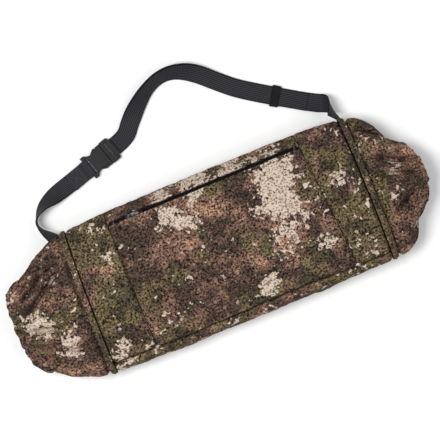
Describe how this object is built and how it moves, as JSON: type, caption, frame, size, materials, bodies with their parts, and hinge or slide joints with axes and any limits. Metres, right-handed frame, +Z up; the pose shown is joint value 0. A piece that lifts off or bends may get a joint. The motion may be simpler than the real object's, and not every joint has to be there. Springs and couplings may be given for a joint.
{
  "type": "hand warmer muff",
  "caption": "Insulated fleece hand muff: open tunnel with elastic cuffs, zipped front pocket and a waist strap with side release buckle.",
  "frame": {"origin": "on the surface that the muff lies on, under the middle of its body, with the straps left out", "axes": "+X along the hand tunnel towards the shorter cuff, +Y towards the edge with the zip and strap, +Z up, out of the pocket's face"},
  "size_m": [0.596, 0.367, 0.0726],
  "materials": {
    "fleece_print": "brushed fleece with a woodland print",
    "lining_fleece": "short pile fleece",
    "batting_wadding": "loose polyester wadding",
    "cuff_elastic": "woven elastic",
    "pocket_lining": "plain woven lining",
    "black_webbing": "woven webbing",
    "black_plastic": "moulded, satin",
    "zip_tape": "woven tape",
    "zip_coil": "nylon coil",
    "zip_metal": "enamelled, worn to bare metal at the edges"
  },
  "bodies": {
    "muff": {"back_panel": "fleece_print", "front_left_panel": "fleece_print", "front_right_panel": "fleece_print", "pocket_panel": "fleece_print", "upper_strip": "fleece_print", "cuff_left": "fleece_print", "cuff_right": "fleece_print", "welt_left": "fleece_print", "welt_right": "fleece_print", "pocket_bag": "pocket_lining", "batting_front": "batting_wadding", "batting_back": "batting_wadding", "lining": "lining_fleece", "elastic_left": "cuff_elastic", "elastic_right": "cuff_elastic", "zip_tape_upper": "zip_tape", "zip_tape_lower": "zip_tape", "zip_coil_upper": "zip_coil", "zip_coil_lower": "zip_coil", "zip_stop_left": "zip_metal", "zip_stop_right": "zip_metal", "strap_short": "black_webbing", "strap_short_fold": "black_webbing", "strap_long": "black_webbing", "strap_return": "black_webbing", "buckle_female": "black_plastic"},
    "zip_slider": {"zip_slider": "zip_metal"},
    "zip_pull": {"zip_pull": "zip_metal"},
    "strap_slide": {"strap_slide": "black_plastic"},
    "buckle_male": {"buckle_male": "black_plastic", "strap_long_fold": "black_webbing"},
    "prong_left": {"prong_left": "black_plastic"},
    "prong_right": {"prong_right": "black_plastic"}
  },
  "joints": [
    {"name": "zip_slide", "type": "slide", "parent": "muff", "child": "zip_slider", "axis": [1, 0, 0], "range_m": [-0.015, 0.237]},
    {"name": "pull_hinge", "type": "hinge", "parent": "zip_slider", "child": "zip_pull", "pos_m": [-0.097, 0.08542, 0.05756], "axis": [0, -0.9086, 0.4176], "range_deg": [0, 170]},
    {"name": "strap_adjust", "type": "slide", "parent": "muff", "child": "strap_slide", "axis": [0.845, -0.5348, 0], "range_m": [-0.02, 0.035]},
    {"name": "buckle_release", "type": "slide", "parent": "muff", "child": "buckle_male", "axis": [0.9511, 0.309, 0], "range_m": [0, 0.03], "deforming": ["strap_long", "strap_return", "prong_left", "prong_right"]},
    {"name": "prong_left_pinch", "type": "hinge", "parent": "buckle_male", "child": "prong_left", "pos_m": [-0.09693, 0.18771, 0.004], "axis": [0, 0, 1], "range_deg": [0, 14], "stiffness_Nm_per_rad": 0.02},
    {"name": "prong_right_pinch", "type": "hinge", "parent": "buckle_male", "child": "prong_right", "pos_m": [-0.091, 0.16945, 0.004], "axis": [0, 0, -1], "range_deg": [0, 14], "stiffness_Nm_per_rad": 0.02}
  ],
  "couplings": [
    {"joint": "prong_right_pinch", "follows": "prong_left_pinch", "ratio": 1}
  ]
}
